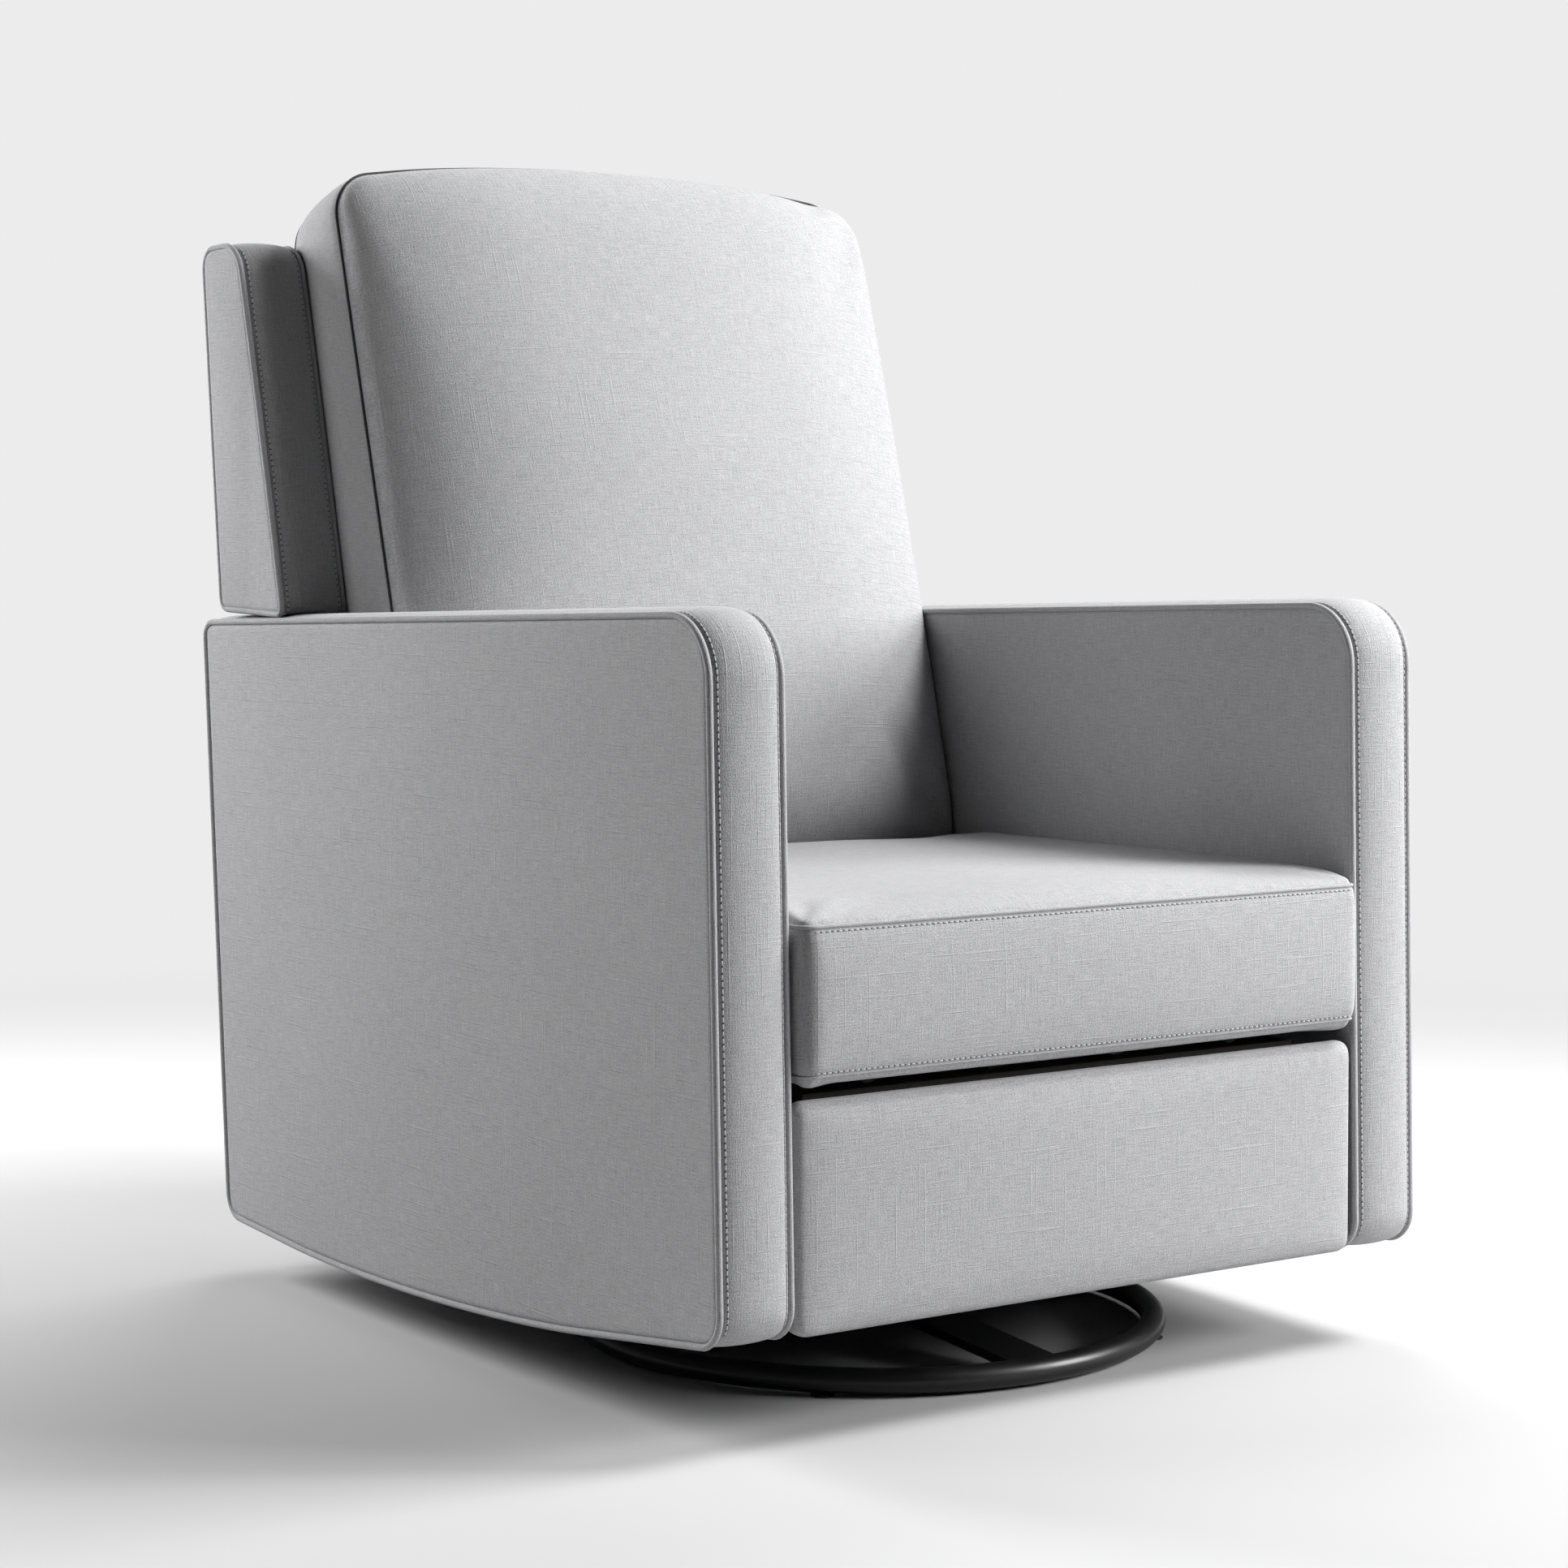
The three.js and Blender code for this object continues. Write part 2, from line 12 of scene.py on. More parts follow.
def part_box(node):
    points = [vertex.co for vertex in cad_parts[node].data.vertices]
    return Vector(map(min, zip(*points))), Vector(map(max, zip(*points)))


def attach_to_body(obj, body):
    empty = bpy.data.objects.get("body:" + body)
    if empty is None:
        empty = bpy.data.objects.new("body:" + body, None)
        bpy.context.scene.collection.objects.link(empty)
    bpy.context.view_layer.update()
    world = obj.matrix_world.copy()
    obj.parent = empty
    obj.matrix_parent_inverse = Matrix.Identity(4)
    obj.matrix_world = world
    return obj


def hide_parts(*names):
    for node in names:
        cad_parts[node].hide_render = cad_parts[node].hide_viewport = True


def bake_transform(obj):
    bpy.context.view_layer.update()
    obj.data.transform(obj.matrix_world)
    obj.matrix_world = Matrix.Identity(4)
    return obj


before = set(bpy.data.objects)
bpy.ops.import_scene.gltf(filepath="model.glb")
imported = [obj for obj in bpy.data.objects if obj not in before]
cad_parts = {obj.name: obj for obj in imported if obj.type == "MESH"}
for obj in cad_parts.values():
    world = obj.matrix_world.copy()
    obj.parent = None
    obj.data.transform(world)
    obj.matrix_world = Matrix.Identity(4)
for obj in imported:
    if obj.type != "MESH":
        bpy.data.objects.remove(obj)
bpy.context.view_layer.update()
scene = bpy.context.scene

MM = 0.001
ring_low, ring_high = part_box("base_ring")
AXIS = np.array([0, (ring_low.y + ring_high.y) / 2, 0])  # the turning axis, in metres


def in_frame(points):
    """Millimetres from the turning axis as metres in the frame."""
    return np.asarray(points, float) * MM + AXIS


# ---- materials ---------------------------------------------------------------------------------


class Shader:
    """A node material: each call adds a node, and gives back its first output."""

    def __init__(self, name, **finish):
        self.material = bpy.data.materials.new(name)
        self.material.use_nodes = True
        self.tree = self.material.node_tree
        self.surface = self.tree.nodes["Principled BSDF"]
        for socket, value in finish.items():
            self.surface.inputs[socket.replace("_", " ")].default_value = value

    def node(self, kind, inputs=(), output=0, **settings):
        made = self.tree.nodes.new("ShaderNode" + kind)
        for key, value in settings.items():
            setattr(made, key, value)
        for key, value in dict(inputs).items():
            self.feed(made.inputs[key], value)
        return made.outputs[output]

    def feed(self, socket, value):
        if isinstance(value, bpy.types.NodeSocket):
            self.tree.links.new(value, socket)
        else:
            socket.default_value = value

    def maths(self, operation, a, b):
        return self.node("Math", {0: a, 1: b}, operation=operation)

    def stretched(self, vector, scale, offset=(0, 0, 0)):
        return self.node("Mapping", {"Vector": vector, "Scale": scale, "Location": offset})

    def noise(self, vector, scale, detail=2.0, roughness=0.5):
        inputs = {"Vector": vector, "Scale": scale, "Detail": detail, "Roughness": roughness}
        return self.node("TexNoise", inputs)

    def ramp(self, value, low, high, to_low=0.0, to_high=1.0):
        inputs = {"Value": value, 1: low, 2: high, 3: to_low, 4: to_high}
        return self.node("MapRange", inputs)

    def mixed(self, factor, a, b):
        inputs = {"Factor": factor, 6: a, 7: b}
        return self.node("Mix", inputs, output=2, data_type="RGBA")

    def bump(self, height, distance, strength):
        inputs = {"Height": height, "Distance": distance, "Strength": strength}
        return self.node("Bump", inputs)

    def set(self, socket, value):
        self.feed(self.surface.inputs[socket], value)


THREADS = 840.0  # in a metre of cloth
LINEN_GREY = (0.42, 0.42, 0.43)


def linen(name, shade=1.0, slub=1.0):
    """Light grey linen weave: a fine grain of threads both ways, with thin slubs, mostly across."""
    s = Shader(name, Roughness=0.92, Sheen_Weight=0.1, Sheen_Roughness=0.45, Specular_IOR_Level=0.2)
    cloth = s.node("Attribute", attribute_name="cloth", output=1)
    grain = s.noise(s.stretched(cloth, (THREADS, THREADS, 3), (3, 8, 5)), 1.0, detail=1.0)
    weft_tone = s.noise(s.stretched(cloth, (60, THREADS, 3)), 1.0, detail=1.0)
    warp_tone = s.noise(s.stretched(cloth, (THREADS, 60, 3), (9, 4, 0)), 1.0, detail=1.0)
    threads = s.maths("ADD", weft_tone, warp_tone)
    heather = s.maths("ADD", s.maths("MULTIPLY", threads, 0.3), s.maths("MULTIPLY", grain, 0.7))
    weft_slub = s.noise(s.stretched(cloth, (9, 620, 3), (2, 7, 1)), 1.0, detail=0.0)
    warp_slub = s.noise(s.stretched(cloth, (560, 8, 3), (5, 1, 2)), 1.0, detail=0.0)
    weft_lines = s.ramp(weft_slub, 0.70, 0.78)
    warp_lines = s.maths("MULTIPLY", s.ramp(warp_slub, 0.70, 0.80), 0.55)
    slubs = s.maths("MULTIPLY", s.maths("MAXIMUM", weft_lines, warp_lines), slub)
    cloudy = s.noise(s.stretched(cloth, (6, 6, 3)), 1.0, detail=2.0)
    grey = [shade * tone for tone in LINEN_GREY]
    dark = [0.74 * tone for tone in grey] + [1]
    light = [1.24 * tone for tone in grey] + [1]
    pale = [min(1.0, 1.30 * tone) for tone in grey] + [1]
    worn = s.maths("ADD", heather, s.ramp(cloudy, 0.3, 0.7, -0.015, 0.015))
    woven = s.mixed(s.ramp(worn, 0.46, 0.84), dark, light)
    s.set("Base Color", s.mixed(s.maths("MULTIPLY", slubs, 0.3), woven, pale))
    height = s.maths("ADD", s.maths("MULTIPLY", heather, 1.1), s.maths("MULTIPLY", slubs, 0.6))
    s.set("Normal", s.bump(height, 0.0005, 0.9))
    s.set("Roughness", s.ramp(heather, 0.4, 0.9, 0.86, 0.97))
    return s.material


def thread_fibre():
    s = Shader("sewing_thread", Roughness=0.6, Sheen_Weight=0.1)
    where = s.node("TexCoord", output=3)
    twist = s.node("TexWave", {"Vector": where, "Scale": 900.0, "Distortion": 1.0}, output=1)
    s.set("Base Color", s.mixed(twist, (0.46, 0.46, 0.465, 1), (0.57, 0.57, 0.575, 1)))
    s.set("Normal", s.bump(twist, 0.0001, 0.5))
    return s.material


def needle_hole_shade():
    """Painted shade for the pinch where thread enters the cloth: a near-black colour on a small
    grain, in place of the shadow in the hole.
    """
    s = Shader("needle_hole_shade", Roughness=0.95, Specular_IOR_Level=0.1)
    speckle = s.noise(s.node("TexCoord", output=3), 900.0)
    s.set("Base Color", s.mixed(speckle, (0.05, 0.05, 0.052, 1), (0.12, 0.12, 0.122, 1)))
    return s.material


def powder_coat():
    """Satin black powder coat: a fine orange peel, a little dust in the tone."""
    s = Shader("black_powder_coat", Specular_IOR_Level=0.5, Coat_Weight=0.15, Coat_Roughness=0.3)
    where = s.node("TexCoord", output=3)
    peel = s.noise(where, 900.0, 2.0)
    broad = s.noise(where, 14.0, 4.0)
    dusty = s.ramp(broad, 0.3, 0.7)
    s.set("Base Color", s.mixed(dusty, (0.006, 0.006, 0.007, 1), (0.014, 0.014, 0.015, 1)))
    s.set("Roughness", s.ramp(broad, 0.3, 0.7, 0.32, 0.46))
    s.set("Normal", s.bump(peel, 0.0002, 0.35))
    return s.material


def zinc():
    """Zinc-plated pressed steel: brushed one way, with the plating's faint mottling."""
    s = Shader("zinc_plated_steel", Metallic=1.0)
    where = s.node("TexCoord", output=3)
    brushed = s.noise(s.stretched(where, (900, 60, 60)), 1.0, 3.0)
    mottled = s.noise(where, 55.0, 4.0)
    patches = s.ramp(mottled, 0.3, 0.7)
    s.set("Base Color", s.mixed(patches, (0.42, 0.43, 0.44, 1), (0.62, 0.62, 0.61, 1)))
    s.set("Roughness", s.ramp(brushed, 0.3, 0.7, 0.26, 0.5))
    s.set("Normal", s.bump(brushed, 0.0001, 0.4))
    return s.material


def plywood(name, gap_shade=0.0):
    """Birch frame wood: grain along one way, and darker plies. Its last argument takes it towards
    black, as painted shade for wood that sits in shadow.
    """
    s = Shader(name, Roughness=0.62, Specular_IOR_Level=0.3)
    where = s.node("TexCoord", output=3)
    grain = s.noise(s.stretched(where, (160, 160, 7)), 1.0, 5.0, 0.62)
    knots = s.noise(where, 6.0, 3.0)
    waves = {"Vector": where, "Scale": 210.0, "Distortion": 0.4}
    plies = s.node("TexWave", waves, output=1, bands_direction="X")
    timber = s.mixed(s.ramp(grain, 0.32, 0.68), (0.47, 0.29, 0.14, 1), (0.72, 0.52, 0.31, 1))
    toned = s.mixed(s.ramp(knots, 0.35, 0.75, 0.0, 0.5), timber, (0.50, 0.31, 0.16, 1))
    bare = s.mixed(s.ramp(plies, 0.2, 0.9, 0.0, 0.22), toned, (0.36, 0.22, 0.11, 1))
    # Painted shade: the wood goes towards near black by the last argument.
    s.set("Base Color", s.mixed(gap_shade, bare, (0.01, 0.01, 0.011, 1)))
    s.set("Normal", s.bump(grain, 0.0003, 0.5))
    return s.material


def moulded_plastic():
    s = Shader("moulded_plastic", Roughness=0.5)
    where = s.node("TexCoord", output=3)
    pebbles = s.node("TexVoronoi", {"Vector": where, "Scale": 1400.0})
    tone = s.noise(where, 40.0)
    s.set("Base Color", s.mixed(tone, (0.018, 0.018, 0.019, 1), (0.035, 0.035, 0.036, 1)))
    s.set("Normal", s.bump(pebbles, 0.0001, 0.4))
    return s.material


LINEN = linen("linen_weave")
PIPING = linen("linen_piping", shade=0.97, slub=0.4)
# Painted shade: a near-black piping cloth that stands for the thin shadow line along the back
# cushion's seams.
SEAM_SHADOW_PIPING = linen("linen_piping_painted_shade", shade=0.16, slub=0.4)
THREAD = thread_fibre()
# Painted shade: the near-black colour of the grains that stand for the needle holes' shadows.
HOLE_SHADE = needle_hole_shade()
STEEL = powder_coat()
ZINC = zinc()
WOOD = plywood("frame_plywood")
# Painted shade: the board edges that show in the gaps under the seat are made near black to stand for
# the shadow there.
GAP_SHADE_WOOD = plywood("plywood_painted_gap_shade", gap_shade=0.96)  # the edges that show in the gaps
PLASTIC = moulded_plastic()


# ---- outlines ----------------------------------------------------------------------------------

ARC_STEPS = 10
ROUNDNESS = 0.5523  # of a cubic curve's handles, for a near circle
CROWDING = 0.62  # how much closer together points lie near the ends of a side


def outline(*sides):
    """The sides of a rounded outline.

    Each is given by its corners (across, up, cut), where cut is how far from the corner its
    rounding starts, and runs from the middle of its first corner to the middle of the next side's."""
    corners = [np.array(corner, float) for side in sides for corner in side]
    count = len(corners)
    arcs = [rounding(corners[i - 1], corners[i], corners[(i + 1) % count]) for i in range(count)]
    starts = np.cumsum([0] + [len(side) for side in sides])
    lines = []
    for start, stop in zip(starts, starts[1:]):
        last = arcs[stop % count][: ARC_STEPS + 1]
        lines.append(np.vstack([arcs[start][ARC_STEPS:], *arcs[start + 1 : stop], last]))
    return lines


def rounding(before, corner, after):
    """The curve that cuts a corner, as a cubic with a handle at each end."""
    middle, cut = corner[:2], corner[2]
    ways = [far[:2] - middle for far in (before, after)]
    start, end = (middle + way / np.linalg.norm(way) * cut for way in ways)
    first, second = start + (middle - start) * ROUNDNESS, end + (middle - end) * ROUNDNESS
    t = np.linspace(0, 1, 2 * ARC_STEPS + 1)[:, None]
    s = 1 - t
    return s**3 * start + 3 * s**2 * t * first + 3 * s * t**2 * second + t**3 * end


def crowded(count):
    """Shares from 0 to 1, closer together near both ends."""
    t = np.linspace(0, 1, count + 1)
    return t - CROWDING * np.sin(2 * np.pi * t) / (2 * np.pi)


def unit(vectors):
    return vectors / np.linalg.norm(vectors, axis=1)[:, None]


def travelled(points):
    """How far along a line each of its points lies."""
    return np.concatenate([[0], np.cumsum(np.linalg.norm(np.diff(points, axis=0), axis=1))])


def travelled_round(points):
    """The same for a loop, ending with its whole length."""
    return travelled(np.vstack([points, points[:1]]))


def spaced(points, shares):
    """Points along a line at the given shares of its length."""
    lengths = travelled(points)
    return np.column_stack([np.interp(shares * lengths[-1], lengths, axis) for axis in points.T])


def filled(bottom, right, top, left):
    """A grid of points between four sides that follow one another round an outline."""
    top, left = top[::-1], left[::-1]
    u, v = crowded(len(bottom) - 1)[None, :, None], crowded(len(left) - 1)[:, None, None]
    ruled = (1 - v) * bottom + v * top + (1 - u) * left[:, None] + u * right[:, None]
    below, above = ((1 - u) * line[0] + u * line[-1] for line in (bottom, top))
    return ruled - (1 - v) * below - v * above


# ---- pads --------------------------------------------------------------------------------------


PLUMPNESS = 2.4  # the usual power of a swelling: 1 is a straight slope, and more is rounder


def swell(distance, reach, power):
    """From 0 at a seam to 1 at reach away from it, as steeply as stuffing swells."""
    t = np.clip(distance / reach, 0, 1)
    return (1 - (1 - t) ** power) ** (1 / power)


class Panel:
    """How a panel swells from its seams: its height, then how far in from each side it is full.

    crown domes its middle, and overhang is how far its left and right edges are pushed out over
    the seams."""

    def __init__(self, height, left, right, bottom, top, crown=0, overhang=(0, 0), power=PLUMPNESS):
        self.height, self.crown, self.overhang, self.power = height, crown, overhang, power
        self.left, self.right, self.bottom, self.top = left, right, bottom, top

    def rise(self, grid):
        """How far each point of the grid stands out, and how far it is pushed sideways."""
        u, v = crowded(grid.shape[1] - 1)[None, :], crowded(grid.shape[0] - 1)[:, None]
        width = np.linalg.norm(grid[:, -1] - grid[:, 0], axis=1)[:, None]
        tall = np.linalg.norm(grid[-1] - grid[0], axis=1)[None, :]
        from_left, from_right = u * width, (1 - u) * width
        full = swell(from_left, self.left, self.power) * swell(from_right, self.right, self.power)
        full = full * swell(v * tall, self.bottom, self.power)
        full = full * swell((1 - v) * tall, self.top, self.power)
        dome = np.sin(np.pi * u) * np.sin(np.pi * v)
        sideways = self.overhang[1] * bulge(from_right) - self.overhang[0] * bulge(from_left)
        sideways = sideways * np.sin(np.pi * v) ** 0.15
        return self.height * full + self.crown * dome, np.dstack([sideways, 0 * sideways])


def even_panel(height, reach, **shape):
    """A panel that swells alike from all four sides."""
    return Panel(height, reach, reach, reach, reach, **shape)


BULGE_PEAK = 12.0  # from a seam


def bulge(distance):
    """A hump of height 1 at its peak beside a seam, that dies away further in."""
    return distance / BULGE_PEAK * np.exp(1 - distance / BULGE_PEAK)


# Where on the cloth each kind of surface is cut, so that no two show the same threads.
PANEL_CUT, BAND_CUT, CORD_CUT, FLAP_CUT = 5.0, 11.0, 17.0, 23.0


class Pad:
    """An upholstered piece: two panels of one outline, sewn to a band that runs round between them.

    counts gives the panels' faces across and up, and facing the way that each panel faces.
    place(across, up, depth) gives points in millimetres, with depth 0 on the first panel and 1 on
    the second. swelling(outward) gives how far the middle of the band stands out, from its outward
    directions, and band_reach is the share of its width that it takes to get there."""

    def __init__(
        self, name, sides, counts, place, panels, facing, swelling,
        band_steps=8, band_reach=0.5, band_power=PLUMPNESS,
    ):
        self.place = place
        lines = [spaced(side, crowded(count)) for side, count in zip(sides, counts * 2)]
        self.loop = np.vstack([line[:-1] for line in lines])
        along = np.roll(self.loop, -1, 0) - np.roll(self.loop, 1, 0)
        self.normal = np.column_stack([along[:, 1], -along[:, 0]])
        self.normal /= np.linalg.norm(along, axis=1)[:, None]
        self.depths = crowded(band_steps)
        self.facing = [np.array(way, float) / np.linalg.norm(way) for way in facing]
        self.outward = [self.outward_at(depth) for depth in self.depths]
        self.points, self.faces, self.cloth = [], [], []
        rim = self.add_panels(filled(*lines), panels)
        self.add_band(rim, swelling, band_reach, band_power)
        points, seams = np.vstack(self.points), np.concatenate(rim)
        self.object = woven_mesh(name, points, self.faces, self.cloth, LINEN, seams)

    def placed(self, line, depth):
        return self.place(line[:, 0], line[:, 1], depth)

    def outward_at(self, depth):
        """Directions out of the outline, in its own plane, at a depth between the panels."""
        return unit(self.placed(self.loop + self.normal, depth) - self.placed(self.loop, depth))

    def seam(self, depth, out=0.0, forward=0.0):
        """The seam at depth 0 or 1, moved out of the outline and off the panel."""
        outward = self.outward[-1 if depth else 0]
        return self.placed(self.loop, depth) + outward * out + self.facing[depth] * forward

    def add_panels(self, grid, panels):
        """Adds both panels, and gives the numbers of the points round each one's edge."""
        rows, columns = grid.shape[:2]
        numbers = np.arange(rows * columns).reshape(rows, columns)
        for depth, panel in enumerate(panels):
            height, sideways = panel.rise(grid)
            moved = self.placed((grid + sideways).reshape(-1, 2), depth)
            self.points.append(moved + height.reshape(-1, 1) * self.facing[depth])
            for j in range(rows - 1):
                for i in range(columns - 1):
                    corners = [(j, i), (j, i + 1), (j + 1, i + 1), (j + 1, i)]
                    self.faces.append([depth * rows * columns + numbers[at] for at in corners])
                    self.cloth.append([(*grid[at] * MM, depth * PANEL_CUT) for at in corners])
        edges = [numbers[0, :-1], numbers[:-1, -1], numbers[-1, :0:-1], numbers[:0:-1, 0]]
        rim = np.concatenate(edges)
        return rim, rows * columns + rim

    def add_band(self, rim, swelling, reach, power):
        """Adds the band that joins the two panels' edges."""
        first = self.seam(0)
        width = np.linalg.norm(self.seam(1) - first, axis=1)
        length = travelled_round(first)
        stand_out = swelling(self.outward[0])
        count, steps = len(self.loop), len(self.depths) - 1
        start = sum(len(part) for part in self.points)
        rings = [rim[0], *(start + k * count + np.arange(count) for k in range(steps - 1)), rim[1]]
        for k in range(1, steps):
            depth = self.depths[k]
            share = swell(min(depth, 1 - depth) * width, reach * width, power)
            out = self.outward[k] * (stand_out * share)[:, None]
            self.points.append(self.placed(self.loop, depth) + out)
        for k in range(steps):
            for p in range(count):
                corners = [(k, p), (k, p + 1), (k + 1, p + 1), (k + 1, p)]
                self.faces.append([rings[r][q % count] for r, q in corners])
                places = [(length[q] * MM, self.depths[r] * width[0] * MM) for r, q in corners]
                self.cloth.append([(*place, BAND_CUT) for place in places])


def linked(name, data):
    made = bpy.data.objects.new(name, data)
    scene.collection.objects.link(made)
    return made


def face_out(mesh):
    """Turns all faces of a closed mesh to face out."""
    shape = bmesh.new()
    shape.from_mesh(mesh)
    bmesh.ops.recalc_face_normals(shape, faces=shape.faces)
    shape.to_mesh(mesh)
    shape.free()


def woven_mesh(name, points, faces, cloth, material, seams=()):
    """A closed mesh in the frame whose corners know their place on the cloth."""
    mesh = bpy.data.meshes.new(name)
    mesh.from_pydata(in_frame(points).tolist(), [], [list(map(int, face)) for face in faces])
    attribute = mesh.attributes.new("cloth", "FLOAT_VECTOR", "CORNER")
    corners = [corner for face in cloth for corner in face]
    attribute.data.foreach_set("vector", np.array(corners, np.float32).ravel())
    face_out(mesh)
    mesh.materials.append(material)
    mesh.shade_smooth()
    made = linked(name, mesh)
    if len(seams):
        group = made.vertex_groups.new(name="seams")
        group.add([int(i) for i in seams], 1.0, "REPLACE")
    return made


SIMULATION_FRAMES = 16


def inflate(made, pressure, most):
    """Blows a cover up against its seams as cloth, moving no point more than most millimetres."""
    rest = positions(made.data)
    cloth = made.modifiers.new("cloth", "CLOTH")
    settings = cloth.settings
    settings.quality = 5
    settings.mass = 0.3
    settings.tension_stiffness = settings.compression_stiffness = 18
    settings.shear_stiffness = 8
    settings.bending_stiffness = 6
    settings.use_pressure = True
    settings.uniform_pressure_force = pressure
    settings.vertex_group_mass = "seams"
    settings.effector_weights.gravity = 0
    cloth.point_cache.frame_start, cloth.point_cache.frame_end = 1, SIMULATION_FRAMES
    for step in range(1, SIMULATION_FRAMES + 1):
        scene.frame_set(step)
    graph = bpy.context.evaluated_depsgraph_get()
    moved = positions(made.evaluated_get(graph).data) - rest
    length = np.linalg.norm(moved, axis=1)[:, None]
    limit = most * MM
    capped = moved / np.maximum(length, 1e-9) * limit * np.tanh(length / limit)
    made.modifiers.remove(cloth)
    made.data.vertices.foreach_set("co", (rest + capped).astype(np.float32).ravel())
    made.data.update()
    scene.frame_set(1)


def positions(mesh):
    found = np.zeros(len(mesh.vertices) * 3, np.float32)
    mesh.vertices.foreach_get("co", found)
    return found.reshape(-1, 3).astype(float)


def refined(made):
    """Subdivides a mesh once, for good."""
    smooth = made.modifiers.new("smooth", "SUBSURF")
    smooth.levels = smooth.render_levels = 1
    graph = bpy.context.evaluated_depsgraph_get()
    mesh = bpy.data.meshes.new_from_object(made.evaluated_get(graph))
    made.modifiers.remove(smooth)
    made.data = mesh
    mesh.shade_smooth()
    return made


# ---- seams -------------------------------------------------------------------------------------

WELT_RADIUS = 2.9
WELT_SIDES = 8
STITCH_PITCH = 5.4
STITCH = (3.9, 0.7, 0.8, 0.3)  # length, radius, flatness, lift
# The same for the near-black grain of painted shade at each needle hole.
NEEDLE_HOLE = (1.6, 0.75, 0.25, 0.02)


def tube(name, points, radius, material, closed=True, outward=None, sides=WELT_SIDES):
    """A round cord along points, in millimetres."""
    if closed:
        along = unit(np.roll(points, -1, 0) - np.roll(points, 1, 0))
    else:
        along = unit(np.gradient(points, axis=0))
    side = unit(np.cross(along, (0.0, 0.0, 1.0) if outward is None else outward))
    up = np.cross(side, along)
    turns = np.arange(sides) / sides * 2 * np.pi
    rings = [points + radius * (np.cos(t) * up + np.sin(t) * side) for t in turns]
    ring = np.stack(rings, axis=1).reshape(-1, 3)
    length = travelled_round(points)
    facet = 2 * np.pi * radius / sides
    count = len(points)
    faces, cloth = [], []
    for i in range(count if closed else count - 1):
        for k in range(sides):
            corners = [(i, k), (i + 1, k), (i + 1, k + 1), (i, k + 1)]
            faces.append([(p % count) * sides + q % sides for p, q in corners])
            cloth.append([(length[p] * MM, q * facet * MM, CORD_CUT) for p, q in corners])
    if not closed:
        for cap in (range(sides), range((count - 1) * sides, count * sides)):
            faces.append(list(cap))
            cloth.append([(0.0, 0.0, 0.0)] * sides)
    return woven_mesh(name, ring, faces, cloth, material)


def welt(pad, name, depth, radius=WELT_RADIUS, out=1.5, forward=1.5, material=PIPING):
    """Piping all round one seam of a pad."""
    outward = pad.outward[-1 if depth else 0]
    return tube(name, pad.seam(depth, out, forward), radius, material, outward=outward)


def topstitch(pad, name, beside, out, shown):
    """Stitches along the run of a pad's band where it is shown, beside a seam."""
    line = pad.placed(pad.loop, beside) + pad.outward[0] * out
    return stitches(name, pad.object, line[run_of(shown)])


def run_of(chosen):
    """The numbers of one unbroken run of chosen points round a loop."""
    start = int(np.argmax(chosen & ~np.roll(chosen, 1)))
    order = (start + np.arange(len(chosen))) % len(chosen)
    stop = int(np.argmin(chosen[order])) or len(chosen)
    return order[:stop]


def stitches(name, surface, line):
    """Short stitches laid along a line on a surface, with a near-black grain between each two:
    painted shade for the shadow of a needle hole.
    """
    tree = BVHTree.FromObject(surface, bpy.context.evaluated_depsgraph_get())
    line = in_frame(line)
    length = np.linalg.norm(np.diff(line, axis=0), axis=1).sum()
    count = int(length / (STITCH_PITCH * MM))
    points, faces, holes = [], [], []
    for n in range(2 * count):
        hole = n % 2
        shares = (n / 2 + np.array([0.25, 0.65])) / count
        here, ahead = map(Vector, spaced(line, shares.clip(0, 1)))
        spot, normal, _, _ = tree.find_nearest(here)
        along = ahead - here
        along = (along - along.dot(normal) * normal).normalized()
        add_grain(points, faces, spot, normal, along, *(NEEDLE_HOLE if hole else STITCH))
        holes += [hole] * (len(faces) - len(holes))
    mesh = bpy.data.meshes.new(name)
    mesh.from_pydata(points, [], faces)
    face_out(mesh)
    mesh.materials.append(THREAD)
    mesh.materials.append(HOLE_SHADE)
    mesh.polygons.foreach_set("material_index", holes)
    mesh.shade_smooth()
    return linked(name, mesh)


GRAIN_SIDES = 6
GRAIN_STATIONS = [(-1, 0.35), (-0.75, 0.85), (0, 1), (0.75, 0.85), (1, 0.35)]  # reach, girth


def add_grain(points, faces, spot, normal, along, length, radius, flatness, lift):
    """Adds a rice-grain shape lying along a surface."""
    across = normal.cross(along)
    sides, base, last = GRAIN_SIDES, len(points), len(GRAIN_STATIONS) - 1
    for reach, girth in GRAIN_STATIONS:
        raised = lift - 0.3 * abs(reach) ** 3 * lift
        middle = spot + along * (reach * length * MM / 2) + normal * raised * MM
        for k in range(sides):
            turn = 2 * math.pi * k / sides
            step = across * math.cos(turn) + normal * math.sin(turn) * flatness
            points.append(middle + step * girth * radius * MM)
    for r in range(last):
        for k in range(sides):
            low, high = base + r * sides, base + (r + 1) * sides
            faces.append((low + k, low + (k + 1) % sides, high + (k + 1) % sides, high + k))
    faces += [tuple(base + r * sides + k for k in range(sides)) for r in (0, last)]


def attach(body, main, *trims):
    """The main piece rides on a body, and its trims ride on it."""
    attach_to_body(main, body)
    for trim in trims:
        trim.parent = main


SIDES = {"left": -1, "right": 1}
SEAMS = ("outer", "inner")

# ---- arms --------------------------------------------------------------------------------------

ARM_FACES = (367.0, 303.5)  # outer and inner seam, across


def front_top_sole(outward):
    """How much each direction faces the front, the top and the floor, from 0 to 1."""
    return (np.clip(way, 0, 1) for way in (-outward[:, 1], outward[:, 2], -outward[:, 2]))


